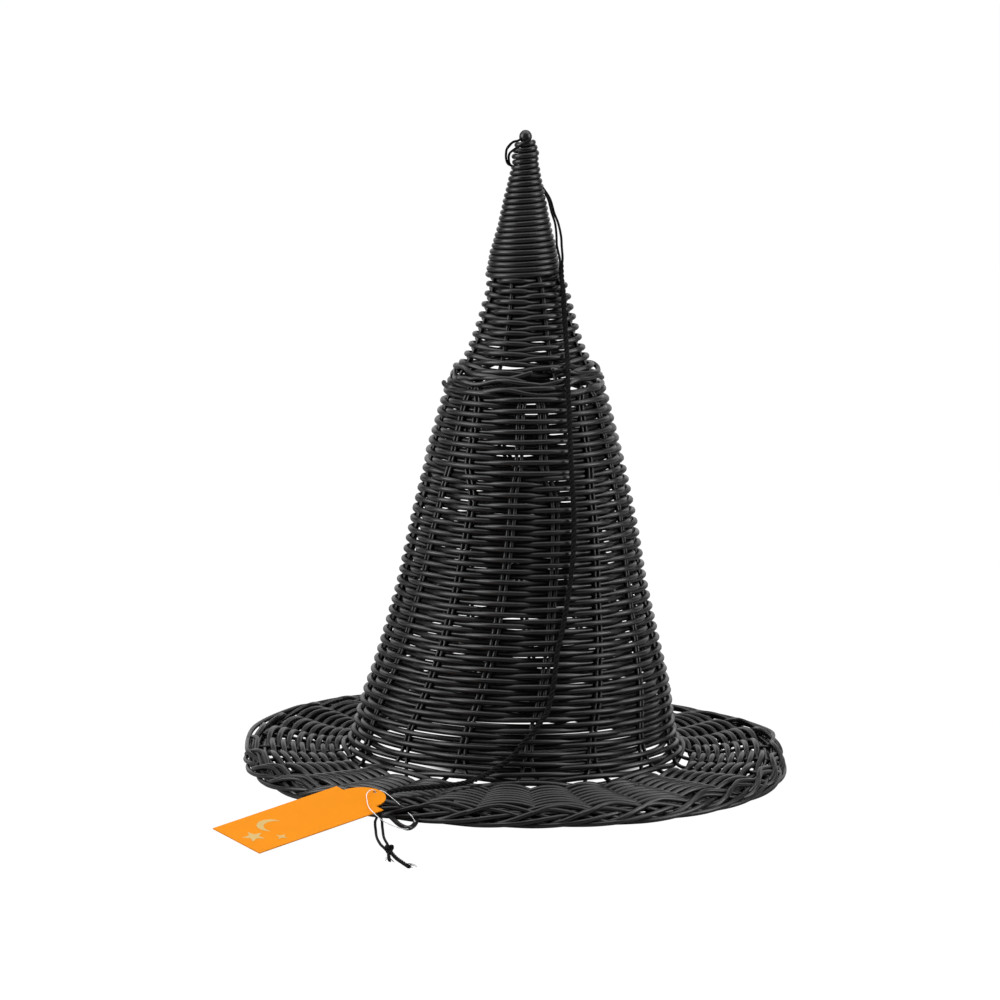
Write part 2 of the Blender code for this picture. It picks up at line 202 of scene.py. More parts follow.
def add_floor():
    """A pale floor that looks white to the camera, except in the shade under the cone."""
    mesh = bpy.data.meshes.new("floor")
    mesh.from_pydata([(-30, -30, 0), (30, -30, 0), (30, 30, 0), (-30, 30, 0)], [], [(0, 1, 2, 3)])
    floor = bpy.data.objects.new("floor", mesh)
    floor.location.z = -0.0003
    bpy.context.scene.collection.objects.link(floor)
    paint = bpy.data.materials.new("floor_white")
    paint.use_nodes = True
    nodes, links = paint.node_tree.nodes, paint.node_tree.links
    nodes.remove(nodes["Principled BSDF"])
    paper = nodes.new("ShaderNodeBsdfDiffuse")
    paper.inputs["Color"].default_value = (0.32, 0.32, 0.32, 1.0)
    glow = nodes.new("ShaderNodeEmission")
    glow.inputs["Strength"].default_value = 1.07
    share = nodes.new("ShaderNodeMath")
    share.operation = "MULTIPLY"
    share.inputs[1].default_value = 0.94
    rays = nodes.new("ShaderNodeLightPath")
    mix = nodes.new("ShaderNodeMixShader")
    links.new(rays.outputs["Is Camera Ray"], share.inputs[0])
    where = nodes.new("ShaderNodeTexCoord")
    away = nodes.new("ShaderNodeVectorMath")
    away.operation = "DISTANCE"
    away.inputs[1].default_value = SHADE_CENTRE
    open_floor = nodes.new("ShaderNodeMapRange")
    open_floor.interpolation_type = "SMOOTHSTEP"
    open_floor.inputs["From Min"].default_value = SHADE_RADIUS - 0.012
    open_floor.inputs["From Max"].default_value = SHADE_RADIUS
    lit = nodes.new("ShaderNodeMath")
    lit.operation = "MULTIPLY"
    links.new(where.outputs["Object"], away.inputs[0])
    links.new(away.outputs["Value"], open_floor.inputs["Value"])
    links.new(share.outputs[0], lit.inputs[0])
    links.new(open_floor.outputs["Result"], lit.inputs[1])
    links.new(lit.outputs[0], mix.inputs[0])
    links.new(paper.outputs[0], mix.inputs[1])
    links.new(glow.outputs[0], mix.inputs[2])
    links.new(mix.outputs[0], nodes["Material Output"].inputs["Surface"])
    mesh.materials.append(paint)


def add_lights():
    """Soft boxes over the hat, at both sides and behind it."""
    area_light("top_box", (0.0, 0.08, 1.95), (0.0, 0.0, 0.15), (3.0, 1.9), 42.0)
    area_light("left_box", (-1.8, -0.55, 0.9), (0.0, 0.0, 0.15), (1.5, 1.5), 38.0)
    area_light("right_box", (1.85, -0.4, 0.9), (0.0, 0.0, 0.15), (1.1, 1.5), 29.0)
    area_light("back_box", (0.0, 2.6, 0.8), (0.0, 0.0, 0.2), (5.0, 1.8), 26.0)


# ---------------------------------------------------------------- curves and swept strands
def catmull(route, steps=12):
    """Dense points along a Catmull-Rom curve through the route."""
    knots = np.array(route, float)
    knots = np.vstack([2 * knots[0] - knots[1], knots, 2 * knots[-1] - knots[-2]])
    t = np.linspace(0.0, 1.0, steps, endpoint=False)[:, None]
    parts = []
    for p, a, b, n in zip(knots, knots[1:], knots[2:], knots[3:]):
        parts.append(0.5 * (2 * a + (b - p) * t + (2 * p - 5 * a + 4 * b - n) * t ** 2
                            + (3 * a - p - 3 * b + n) * t ** 3))
    return np.vstack(parts + [knots[-2:-1]])


def run_length(points):
    steps = np.linalg.norm(np.diff(points, axis=0), axis=1)
    return np.concatenate([[0.0], np.cumsum(steps)])


def respaced(points, step):
    """The same line with points at equal steps."""
    run = run_length(points)
    count = max(2, int(round(run[-1] / step)))
    at = np.linspace(0.0, run[-1], count + 1)
    return np.stack([np.interp(at, run, points[:, k]) for k in range(points.shape[1])], axis=1)


def unit(vectors):
    return vectors / np.maximum(np.linalg.norm(vectors, axis=-1, keepdims=True), 1e-12)


def carried_normals(points):
    """Normals that turn as little as possible along a line."""
    tangent = unit(np.gradient(points, axis=0))
    first = np.cross(tangent[0], (0.0, 0.0, 1.0))
    if np.linalg.norm(first) < 0.2:
        first = np.cross(tangent[0], (1.0, 0.0, 0.0))
    normals = [unit(first)]
    for direction in tangent[1:]:
        last = normals[-1] - direction * np.dot(normals[-1], direction)
        normals.append(unit(last))
    return np.array(normals)


class Strands:
    """Round strands gathered into one mesh, with a 'grain' attribute that runs along each."""

    def __init__(self):
        self.vertices, self.grain, self.quads, self.caps = [], [], [], []
        self.count = 0

    def add(self, points, size, normals=None, sides=SIDES, closed=False, taper=None):
        """One strand; points in metres, size its thickness in millimetres."""
        points = np.asarray(points, float)
        normals = carried_normals(points) if normals is None else normals
        if closed:
            tangent = unit(np.roll(points, -1, axis=0) - np.roll(points, 1, axis=0))
        else:
            tangent = unit(np.gradient(points, axis=0))
        side = unit(np.cross(tangent, normals))
        up = np.cross(side, tangent)
        radius = np.full(len(points), size / 2 * MM)
        if taper is not None:
            radius = radius * taper
        if not closed:
            points, tangent, side, up, radius = self._rounded_ends(points, tangent, side, up, radius)
        run = run_length(points) + rng.uniform(0.0, 5.0)
        angle = np.arange(sides) * 2 * math.pi / sides
        ring = up[:, None, :] * np.cos(angle)[None, :, None] + side[:, None, :] * np.sin(angle)[None, :, None]
        body = points[:, None, :] + ring * radius[:, None, None]
        half = size / 2 * MM
        grain = np.stack([np.repeat(run[:, None], sides, axis=1),
                          np.tile(half * np.cos(angle), (len(points), 1)),
                          np.tile(half * np.sin(angle), (len(points), 1))], axis=2)
        rows = len(points)
        index = np.arange(rows * sides).reshape(rows, sides) + self.count
        onward = np.roll(index, -1, axis=0) if closed else index[1:]
        here = index if closed else index[:-1]
        beside = np.roll(here, -1, axis=1)
        quads = np.stack([here, beside, np.roll(onward, -1, axis=1), onward], axis=2)
        self.quads.append(quads.reshape(-1, 4))
        if not closed:
            self.caps.append(index[0][::-1])
            self.caps.append(index[-1])
        self.vertices.append(body.reshape(-1, 3))
        self.grain.append(grain.reshape(-1, 3))
        self.count += rows * sides

    @staticmethod
    def _rounded_ends(points, tangent, side, up, radius):
        """A smaller ring past each end, so a cut end has a soft edge."""
        past, narrowed = 0.22, 0.78     # shares of the radius
        head = points[0] - tangent[0] * radius[0] * past
        tail = points[-1] + tangent[-1] * radius[-1] * past
        points = np.vstack([head, points, tail])
        tangent = np.vstack([tangent[:1], tangent, tangent[-1:]])
        side = np.vstack([side[:1], side, side[-1:]])
        up = np.vstack([up[:1], up, up[-1:]])
        radius = np.concatenate([[radius[0] * narrowed], radius, [radius[-1] * narrowed]])
        return points, tangent, side, up, radius

    def piece(self, name, material, slot, body="hat", replaces=()):
        vertices = np.vstack(self.vertices)
        quads = np.vstack(self.quads)
        loops = [quads.reshape(-1)] + list(self.caps)
        totals = np.concatenate([np.full(len(quads), 4), [len(cap) for cap in self.caps]]).astype(np.int32)
        loops = np.concatenate(loops).astype(np.int32)
        starts = np.concatenate([[0], np.cumsum(totals)[:-1]]).astype(np.int32)
        mesh = bpy.data.meshes.new(name)
        mesh.vertices.add(len(vertices))
        mesh.vertices.foreach_set("co", vertices.astype(np.float32).ravel())
        mesh.loops.add(len(loops))
        mesh.loops.foreach_set("vertex_index", loops)
        mesh.polygons.add(len(totals))
        mesh.polygons.foreach_set("loop_start", starts)
        mesh.polygons.foreach_set("loop_total", totals)
        mesh.update(calc_edges=True)
        mesh.validate()
        mesh.shade_smooth()
        grain = mesh.attributes.new("grain", "FLOAT_VECTOR", "POINT")
        grain.data.foreach_set("vector", np.vstack(self.grain).astype(np.float32).ravel())
        mesh.materials.append(material)
        made = bpy.data.objects.new(name, mesh)
        bpy.context.scene.collection.objects.link(made)
        return finish_piece(made, body, replaces)


def finish_piece(made, body="hat", replaces=()):
    if body:
        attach(made, body)
    if replaces:
        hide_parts(*replaces)
    return made


# ---------------------------------------------------------------- the woven wall's surface
class Wall:
    """The stake line turned about Z: a place by angle, length down the line, and height above it."""

    def __init__(self, line, step=0.4, rounding=5.0):
        line = np.array(line)
        dense = respaced(line, step)
        reach = int(3 * rounding / step)
        kernel = np.exp(-0.5 * (np.arange(-reach, reach + 1) * step / rounding) ** 2)
        kernel /= kernel.sum()
        before = 2 * dense[0] - dense[1:reach + 1][::-1]
        after = 2 * dense[-1] - dense[-reach - 1:-1][::-1]
        padded = np.vstack([before, dense, after])
        smooth = np.stack([np.convolve(padded[:, k], kernel, mode="valid") for k in (0, 1)], axis=1)
        self.run = run_length(smooth)
        self.radius, self.height = smooth[:, 0], smooth[:, 1]
        along = unit(np.gradient(smooth, axis=0))
        self.out_r, self.out_z = -along[:, 1], along[:, 0]

    def at_height(self, height):
        """Length down the line to the first place at or under a height."""
        return float(self.run[np.argmax(self.height <= height)])

    def at_radius(self, radius):
        return float(self.run[np.argmax(self.radius >= radius)])

    def height_at(self, run):
        return np.interp(run, self.run, self.height)

    def radius_at(self, run):
        return np.interp(run, self.run, self.radius)

    def place(self, angle, run, lift):
        """Points and outward normals, in metres; angle in radians from +X."""
        out_r = np.interp(run, self.run, self.out_r)
        out_z = np.interp(run, self.run, self.out_z)
        flat, level = self.radius_at(run), self.height_at(run)
        radius = flat + lift * out_r
        height = level + lift * out_z + rim_lift(angle) * smoothstep(*LIFT_GROWS, flat)
        c, s = np.cos(angle), np.sin(angle)
        shift = CONE_SHIFT * smoothstep(*SHIFT_GROWS, level) * smoothstep(*SHIFT_FADES, level)
        height = height + radius * c * row_tilt(level)
        points = np.stack([radius * c + shift, radius * s, height], axis=1) * MM
        normals = np.stack([out_r * c, out_r * s, out_z], axis=1)
        return points, unit(normals)


def smoothstep(low, high, value):
    t = np.clip((np.asarray(value, float) - low) / (high - low), 0.0, 1.0)
    return t * t * (3 - 2 * t)


def front_angle(angle):
    """Degrees round from the front (-Y) towards +X."""
    return np.degrees(angle) + 90.0


def row_tilt(height):
    """How steeply the rows rise towards +X at a height."""
    heights, tilts = zip(*ROW_TILT)
    return np.interp(height, heights, tilts)


def rim_lift(angle):
    """How far the rim stands above its even height, by angle from +X."""
    degrees, lifts = zip(*RIM_LIFT)
    return np.interp((front_angle(angle) + 180.0) % 360.0 - 180.0, degrees, lifts)


# How far all the crown pairs are turned from the front: (height, degrees)
PAIR_TURN = [(10.0, -19.6), (33.0, -19.0), (84.0, -11.8), (130.0, -7.7), (158.0, -6.0), (230.0, -6.0)]
# Where the pairs gather: how many degrees each stands from its even place, and which group it joins
GATHER = [2.7, -5.9, 2.5, 0.8, 9.5, 1.0, 13.0, 4.5, 10.0, 0.0, -10.0, -4.2, -12.8, 2.6, -7.0]
GROUP_OF = [0, 0, 1, 1, 2, 2, 3, 3, 4, 4, 4, 5, 5, 6, 6]
GROUP_TURN = 4.4        # degrees from the front to the first group
UPPER_TURN = -25.3      # and to the first rod of the upper cone
GROUP_STEP = 360.0 / UPPER_UNITS
PAIR_STEP = 360.0 / CROWN_UNITS


def pair_turn(height):
    """Degrees from the front to the first crown pair at a height."""
    heights, turns = zip(*PAIR_TURN)
    return np.interp(height, heights, turns)


BRIM_STEP = 360.0 / BRIM_UNITS
BRIM_TURN = float(pair_turn(STAKE_LINE[-1][1])) + BRIM_STEP / 2     # degrees from the front to a brim rod


def pair_angle(number, height):
    """Degrees from the front to a crown pair at a height."""
    gathered = smoothstep(163.0, 186.0, height)
    angle = pair_turn(height) + PAIR_STEP * number + GATHER[number] * gathered
    centre = GROUP_TURN + GROUP_STEP * GROUP_OF[number]
    closing = 1.0 - 0.65 * smoothstep(213.0, 229.0, height)
    return centre + (angle - centre) * closing


def wobble(turns, amounts, rates, seed):
    """A smooth wandering along a strand, the same each run."""
    own = random.Random(seed)
    total = np.zeros_like(turns)
    for amount, rate in zip(amounts, rates):
        total += amount * np.sin(2 * math.pi * (turns * rate + own.random()))
    return total


def flat_wave(phase, flatness):
    """A cosine with its tops and bottoms flattened."""
    return np.tanh(flatness * np.cos(phase)) / math.tanh(flatness)


# ---------------------------------------------------------------- weavers
def spiral(start, end, row, per_turn, first_angle):
    """Turns, angles and lengths down the wall of one continuous spiral."""
    turns = (end - start) / row
    turn = np.linspace(0.0, turns, int(turns * per_turn) + 1)
    return turn, first_angle - 2 * math.pi * turn, start + row * turn


def add_upper_weavers(wall, material):
    start = wall.at_height(UPPER_START) + 1.55      # half a row further down
    end = wall.at_height(UPPER_END)
    turn, angle, run = spiral(start, end, ROW_UPPER, UPPER_UNITS * 16, math.radians(40))
    index = (front_angle(angle) - UPPER_TURN) / GROUP_STEP
    lift = WEAVE * flat_wave(math.pi * index, 1.0)
    run = run + wobble(turn, (0.13, 0.10, 0.08), (0.61, 1.37, 3.3), 5)
    cut_weaver(wall, turn, angle, run, lift, 2, "upper_weaver", material)


def add_crown_weavers(wall, material):
    start, end = wall.at_height(CROWN_START), wall.at_radius(FLARE_RADIUS)
    turn, angle, run = spiral(start, end, ROW_CROWN, CROWN_UNITS * 12, math.radians(-60))
    height = wall.height_at(run)
    place = front_angle(angle)
    grouped = flat_wave(math.pi * (place - GROUP_TURN) / GROUP_STEP, 1.6) * 1.12    # round thicker groups
    single = flat_wave(math.pi * (place - pair_turn(height)) / PAIR_STEP, 0.9)
    share = smoothstep(REGROUP - 0.6, REGROUP + 0.6, height)
    lift = WEAVE * (grouped * share + single * (1.0 - share))
    loose = smoothstep(46.0, 30.0, height)      # the last rows wander most
    run = run + np.interp(height, (165.0, 215.0), (-1.3, 1.2))      # rows sit closer where pairs gather
    run = run + wobble(turn, (0.12, 0.10, 0.09, 0.05), (0.53, 1.43, 3.7, 7.9), 11)
    run = run + loose * wobble(turn, (0.36, 0.32, 0.26), (2.21, 3.63, 6.45), 23)
    cut_weaver(wall, turn, angle, run, lift, 9, "crown_weaver", material)


def add_brim_weavers(wall, material):
    """Two strands that start half a turn apart, each over the rods that the other goes under."""
    start = wall.at_radius(FLARE_RADIUS) + 1.0      # clear of the crown's last row
    end = wall.at_radius(BRIM_END)
    pieces = [Strands() for _ in range(3)]
    for strand in (0, 1):
        turn, angle, run = spiral(start, end, 2 * ROW_BRIM, BRIM_UNITS * 9,
                                  math.radians(150 + 180 * strand))
        index = (front_angle(angle) - BRIM_TURN) / BRIM_STEP + strand
        lift = WEAVE * flat_wave(math.pi * index, 0.8)
        run = run + wobble(turn, (0.22, 0.2, 0.1), (0.7, 2.3, 5.1), 41 + strand)
        cuts = np.linspace(0, len(turn), 4).astype(int)
        for number, (a, b) in enumerate(zip(cuts, cuts[1:])):
            points, normals = wall.place(angle[a:b], run[a:b], lift[a:b])
            pieces[number].add(points, BRIM_STRAND, normals)
    for number, piece in enumerate(pieces):
        piece.piece(f"brim_weave_{number + 1}", material, "weaving_strand",
                    replaces=[f"brim_weaver_{number + 1}"])


def cut_weaver(wall, turn, angle, run, lift, count, prefix, material):
    """Cut one long spiral into strand lengths, each cut where the strand is inside the wall."""
    cuts = [0]
    for number in range(1, count):
        near = len(turn) * number // count
        window = np.arange(near - 12, near + 12)
        cuts.append(int(window[np.argmin(lift[window])]))
    cuts.append(len(turn))
    for number, (a, b) in enumerate(zip(cuts, cuts[1:])):
        points, normals = wall.place(angle[a:b], run[a:b], lift[a:b])
        strands = Strands()
        strands.add(points, STRAND, normals)
        strands.piece(f"{prefix}_{number + 1}_strand", material, "weaving_strand",
                      replaces=[f"{prefix}_{number + 1}"])


# The strands that finish the upper cone: degrees of their start and sweep, height, lift, how far they
# wander up and down, and the phase of that wandering
COLLAR = [(-84.0, 352.0, 222.8, 2.4, 1.2, 0.0), (-60.0, 330.0, 229.0, 2.6, 1.6, 2.1),
          (20.0, 345.0, 231.6, 3.0, 1.7, 4.0), (150.0, 300.0, 227.4, 2.8, 1.5, 1.0)]
COLLAR_STICK_OUT = 3.4      # how far each one's start stands out


def add_collar(wall, material):
    """Loose strands tied in where the upper cone's rods meet the crown's."""
    strands = Strands()
    for first, sweep, height, lift, swing, phase in COLLAR:
        turn = np.linspace(0.0, 1.0, 240)
        angle = np.radians(first + sweep * turn - 90.0)
        waves = 2 * math.pi * turn
        run = wall.at_height(height) + swing * np.sin(waves * 4.0 + phase) + 0.5 * np.sin(waves * 9.0 + phase)
        off = lift + 0.9 * np.sin(waves * 6.0 + 1.7 * phase)
        off = off + COLLAR_STICK_OUT * smoothstep(0.035, 0.0, turn)
        points, normals = wall.place(angle, run, off)
        strands.add(points, STRAND * 0.9, normals)
    strands.piece("collar_strands", material, "weaving_strand")


# ---------------------------------------------------------------- stakes
def add_stakes(wall, material):
    """Upper rods one by one, and each crown rod as one strand folded in two at its top."""
    upper = np.arange(wall.at_height(UPPER_START + 1.0), wall.at_height(CROWN_START), ROD_STEP)
    for number in range(UPPER_UNITS):
        strands = Strands()
        angle = np.full(len(upper), math.radians(UPPER_TURN + GROUP_STEP * number - 90.0))
        points, normals = wall.place(angle, upper, np.zeros_like(upper))
        strands.add(points, ROD, normals)
        strands.piece(f"upper_rods_{number + 1}", material, "stake_rod",
                      replaces=[f"upper_stake_{number + 1}"])
    crown = np.arange(wall.at_height(CROWN_START - 2.0), wall.run[-1], ROD_STEP)
    height, radius = wall.height_at(crown), wall.radius_at(crown)
    for number in range(CROWN_UNITS):
        strands = Strands()
        legs = []
        for side in (-1, 1):
            fan = smoothstep(*FAN, radius)
            offset = np.degrees(PAIR_SPACING / 2 / radius) * (1 - fan) + PAIR_STEP / 4 * fan
            angle = np.radians(pair_angle(number, height) + side * offset - 90.0)
            legs.append(wall.place(angle, crown, np.zeros_like(crown)))
        top = (legs[0][0][:1] + legs[1][0][:1]) / 2 + np.array([[0.0, 0.0, ROD * 0.5 * MM]])
        points = np.vstack([legs[0][0][::-1], top, legs[1][0]])
        normals = np.vstack([legs[0][1][::-1], legs[0][1][:1], legs[1][1]])
        strands.add(points, ROD, normals)
        strands.piece(f"crown_rods_{number + 1:02d}", material, "stake_rod",
                      replaces=[f"crown_stake_{number + 1:02d}"])


# ---------------------------------------------------------------- wound tip
def wrap_radius(height):
    radii, heights = zip(*WRAP_LINE)
    return np.interp(height, heights, radii)


def add_tip(material, ball_material):
    low, high = WRAP_LINE[0][1] + 0.5, WRAP_LINE[-1][1] + 0.2
    turn = np.linspace(0.0, WRAP_TURNS, WRAP_TURNS * 48 + 1)
    height = low + (high - low) * turn / WRAP_TURNS + wobble(turn, (0.12, 0.08), (0.9, 2.3), 3)
    bulge = 0.4 * np.sin(2 * math.pi * (turn - 22.0)) * smoothstep(22.0, 22.3, turn)    # the last turns' lean
    radius = wrap_radius(height) - WRAP_STRAND / 2 + bulge + wobble(turn, (0.08, 0.06), (1.3, 3.1), 9)
    angle = 2 * math.pi * turn
    tilted = height + radius * np.cos(angle) * row_tilt(height)
    points = np.stack([radius * np.cos(angle) + WRAP_SHIFT, radius * np.sin(angle), tilted], axis=1) * MM
    normals = np.stack([np.cos(angle), np.sin(angle), np.zeros_like(angle)], axis=1)
    wrap = Strands()
    wrap.add(points, WRAP_STRAND, normals)
    wrap.piece("tip_winding", material, "weaving_strand", replaces=["tip_wrap"])

    profile = [(0.0, 3.8), (1.1, 3.72), (2.3, 3.1), (3.3, 1.9), (3.78, 0.4), (3.65, -1.1), (3.0, -2.4),
               (2.2, -3.2), (2.3, -3.9), (2.7, -4.5), (2.4, -5.4)]
    mesh = bpy.data.meshes.new("tip_bead")
    mesh.from_pydata([(r * MM, 0.0, z * MM) for r, z in profile],
                     [(k, k + 1) for k in range(len(profile) - 1)], [])
    bead = bpy.data.objects.new("tip_bead", mesh)
    bead.location = Vector(BALL_CENTRE) * MM
    bpy.context.scene.collection.objects.link(bead)
    screw = bead.modifiers.new("turn", "SCREW")
    screw.steps = screw.render_steps = 24
    screw.use_merge_vertices = True
    screw.merge_threshold = 0.00001
    smooth = bead.modifiers.new("smooth", "SUBSURF")
    smooth.levels = smooth.render_levels = 1
    mesh.materials.append(ball_material)
    finish_piece(bead, replaces=["tip_ball"])


# ---------------------------------------------------------------- plaited border
# Border strands as (degrees on from their brim rod, radius, height)
OVER_PATH = [(-5.0, 146.8, 2.6), (-1.5, 151.0, 2.9), (1.5, 154.2, 4.4), (4.5, 154.0, 7.2),
             (7.5, 151.6, 9.6), (10.5, 149.8, 10.4), (13.5, 150.2, 9.4), (16.5, 151.2, 7.6),
             (19.5, 152.8, 5.4), (22.5, 153.2, 3.3), (25.5, 150.8, 1.8), (29.5, 147.2, 1.8)]
EDGE_PATH = [(-20.0, 147.5, 2.0), (-15.0, 150.5, 1.55), (-10.0, 153.2, 1.5), (-5.0, 155.0, 1.7),
             (0.0, 155.7, 2.5), (5.0, 155.2, 4.0), (9.0, 153.8, 5.6), (13.0, 151.2, 6.6), (17.0, 148.6, 6.8),
             (21.0, 146.4, 6.2)]
# Long strands round the back of the rim, and the degrees from the front at which each starts
BACK_PATH = [(0.0, 148.5, 8.0), (5.0, 152.6, 9.2), (12.0, 154.9, 9.6), (31.0, 155.4, 9.4), (50.0, 154.8, 8.8),
             (57.0, 152.0, 7.6), (62.0, 147.5, 6.0)]
BACK_TURNS = [95.0, 128.0, 161.0, 194.0, 227.0]
# A strand left long, which lies on the table as a loop: (x, y, z)
LOOSE_LOOP = [(-70.3, -129.0, 1.9), (-66.6, -141.9, 1.7), (-61.7, -158.1, 1.6), (-57.2, -164.9, 1.6),
              (-54.1, -157.4, 1.6), (-53.0, -140.8, 1.7), (-56.6, -126.7, 1.9)]
BORDER_STRAND = 2.75
OVERS = [(0.0, -1.0, 0.9), (-1.6, 0.7, -0.8)]       # each rod's strands: degrees, outward, up
# Plain strands inside the border: (radius, height)
CORE_RINGS = [(148.6, 6.2), (147.6, 3.4), (151.6, 3.9), (144.6, 6.6)]


def border_points(rod_angle, path, jitter, lift):
    """A border strand's path from its rod; jitter is in degrees, outward and up.

    lift is how much of the rim's rise it follows.
    """
    route = []
    for degrees, radius, height in path:
        angle = math.radians(rod_angle + degrees + jitter[0] - 90.0)
        r = radius + jitter[1] * 0.35
        z = max(BORDER_STRAND / 2 + 0.1, height + jitter[2] * 0.3 + float(rim_lift(angle)) * lift)
        route.append((r * math.cos(angle), r * math.sin(angle), z))
    return respaced(catmull(route), 1.6) * MM


def add_border(material):
    """Each brim rod's two strands turn over the rim, and edge strands come up round its outside."""
    over, edge = Strands(), Strands()
    for number in range(BRIM_UNITS):
        rod = BRIM_TURN + BRIM_STEP * number
        for turn, outward, up in OVERS:
            path = [(degrees, radius + outward, height + up) for degrees, radius, height in OVER_PATH]
            jitter = [turn + rng.uniform(-1.1, 1.1), rng.uniform(-1.0, 1.0), rng.uniform(-1.0, 1.0)]
            over.add(border_points(rod, path, jitter, 1.0), BORDER_STRAND)
        jitter = [rng.uniform(-1.2, 1.2), rng.uniform(-1.0, 1.0), rng.uniform(-1.0, 1.0)]
        edge.add(border_points(rod, EDGE_PATH, jitter, 0.4), BORDER_STRAND)
    for number, turn in enumerate(BACK_TURNS):
        over.add(border_points(turn, BACK_PATH, (0.0, number % 2, 0.0), 1.0), BORDER_STRAND)
    angle = np.linspace(0.0, 2 * math.pi, 361)[:-1]
    for number, (radius, height) in enumerate(CORE_RINGS):
        r = radius + 0.5 * np.sin(7 * angle + number) + 0.3 * np.sin(19 * angle + 2 * number)
        z = height + rim_lift(angle) + 0.4 * np.sin(11 * angle + 3 * number)
        edge.add(np.stack([r * np.cos(angle), r * np.sin(angle), z], axis=1) * MM, BORDER_STRAND, closed=True)
    edge.add(respaced(catmull(LOOSE_LOOP), 1.2) * MM, BORDER_STRAND)
    over.piece("border_over_strands", material, "weaving_strand", replaces=["border_strand"])
    edge.piece("border_edge_strands", material, "weaving_strand", replaces=["border_ring"])


# ---------------------------------------------------------------- cord, knot and tag
def twisted(points, strands, count, size, lay, spread=None):
    """Lay strands round a line like a rope; spread gives each point's distance from the line."""
    normals = carried_normals(points)
    sides = np.cross(unit(np.gradient(points, axis=0)), normals)
    run = run_length(points) / MM
    reach = np.full(len(points), size / 2) if spread is None else spread
    for number in range(count):
        turn = 2 * math.pi * (run / lay + number / count)
        offset = (normals * np.cos(turn)[:, None] + sides * np.sin(turn)[:, None]) * reach[:, None] * MM
        strands.add(points + offset, size, normals, sides=8)


def side_by_side(points, strands, size, apart):
    """Two strands that run along a line without twisting, apart by the given distances."""
    along = unit(np.gradient(points, axis=0))
    sideways = unit(np.cross(along, (0.0, 0.0, 1.0)))
    for side in (-0.5, 0.5):
        strands.add(points + sideways * (apart * side * MM)[:, None], size, sides=8)


def add_cord(material):
    """Loose strands from the ball, three strands twisted down the cone, then two apart to the knot."""
    path = respaced(catmull(CORD_ROUTE), 0.8)
    run = run_length(path)
    strands = Strands()
    joined, parted = int(np.argmax(run > CORD_JOIN)), int(np.argmax(run > CORD_PART))
    strands.add(respaced(catmull(RIGHT_STRAND[1:]), 0.7) * MM, LOOSE_STRAND, sides=8)
    twisted(path[joined:parted] * MM, strands, 3, CORD_STRAND, CORD_LAY, np.full(parted - joined, 0.78))
    last = run[parted - 1:]
    apart = 1.6 + 2.2 * smoothstep(0.0, 8.0, last - last[0]) - 1.8 * smoothstep(-14.0, 0.0, last - last[-1])
    side_by_side(path[parted - 1:] * MM, strands, CORD_STRAND, apart)
    cord = strands.piece("hanging_cord_twist", material, "cord", replaces=["hanging_cord"])
    loose = Strands()
    for route in (LEFT_STRAND, RIGHT_STRAND[:4]):
        loose.add(respaced(catmull(route), 0.7) * MM, LOOSE_STRAND, sides=8)
    loose_piece = loose.piece("hanging_cord_loose_strand", material, "cord")

    knot = Strands()
    t = np.linspace(0.0, 2 * math.pi, 61)[:-1]
    trefoil = np.stack([np.sin(t) + 2 * np.sin(2 * t), np.cos(t) - 2 * np.cos(2 * t), -np.sin(3 * t)], axis=1)
    turn = np.array(Euler((math.radians(70), math.radians(10), math.radians(20))).to_matrix())
    knot.add((trefoil * (0.72, 0.72, 0.9)) @ turn.T * MM * 0.95 + np.array(KNOT_CENTRE) * MM, 1.7,
             sides=8, closed=True)
    knot_piece = knot.piece("cord_end_knot", material, "cord", replaces=["cord_knot"])

    for name, route, size, fray in (("tail", TAIL_ROUTE, 1.15, 6.0), ("tuft", TUFT_ROUTE, 1.0, 5.0)):
        end = Strands()
        twisted(respaced(catmull(route), 0.7) * MM, end, 2, size, 6.0)
        fray_end(end, route, 9, fray)
        end.piece(f"cord_end_{name}", material, "cord", replaces=[f"cord_{name}"])


def fray_end(strands, route, count, length):
    """Loose fibres that spread from the last part of a cut cord."""
    route = np.array(route, float)
    along = unit(route[-1] - route[-2])
    for _ in range(count):
        start = route[-1] - along * rng.uniform(0.5, 8.0)
        aside = np.array([rng.uniform(-1, 1), rng.uniform(-1, 1), rng.uniform(-0.1, 0.6)])
        reach = length * rng.uniform(0.5, 1.0)
        end = start + (along + aside * 0.75) * reach
        end[2] = max(end[2], 0.35)
        middle = (start + end) / 2 + np.array([0.0, 0.0, rng.uniform(0.2, 0.8)])
        fibre = respaced(catmull([start, middle, end]), 0.5) * MM
        strands.add(fibre, FIBRE, sides=5, taper=np.linspace(1.0, 0.5, len(fibre)))


def add_thread(material):
    """The tag's nylon thread, which bends between the border and the tag's hole."""
    path = respaced(catmull(THREAD_ROUTE), 0.8) * MM
    strands = Strands()
    strands.add(path, THREAD_DRAWN, sides=8)
    thread = strands.piece("tag_thread_loop", material, "tag_nylon", body=None, replaces=["tag_thread"])
    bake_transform(thread)


def star_outline(centre, points, outer, inner, turn):
    """Corners of a star, far and near the centre by turns."""
    outline = []
    for k in range(2 * points):
        radius = outer if k % 2 == 0 else inner
        angle = math.radians(turn) + math.pi * k / points
        outline.append((centre[0] + radius * math.cos(angle), centre[1] + radius * math.sin(angle)))
    return outline


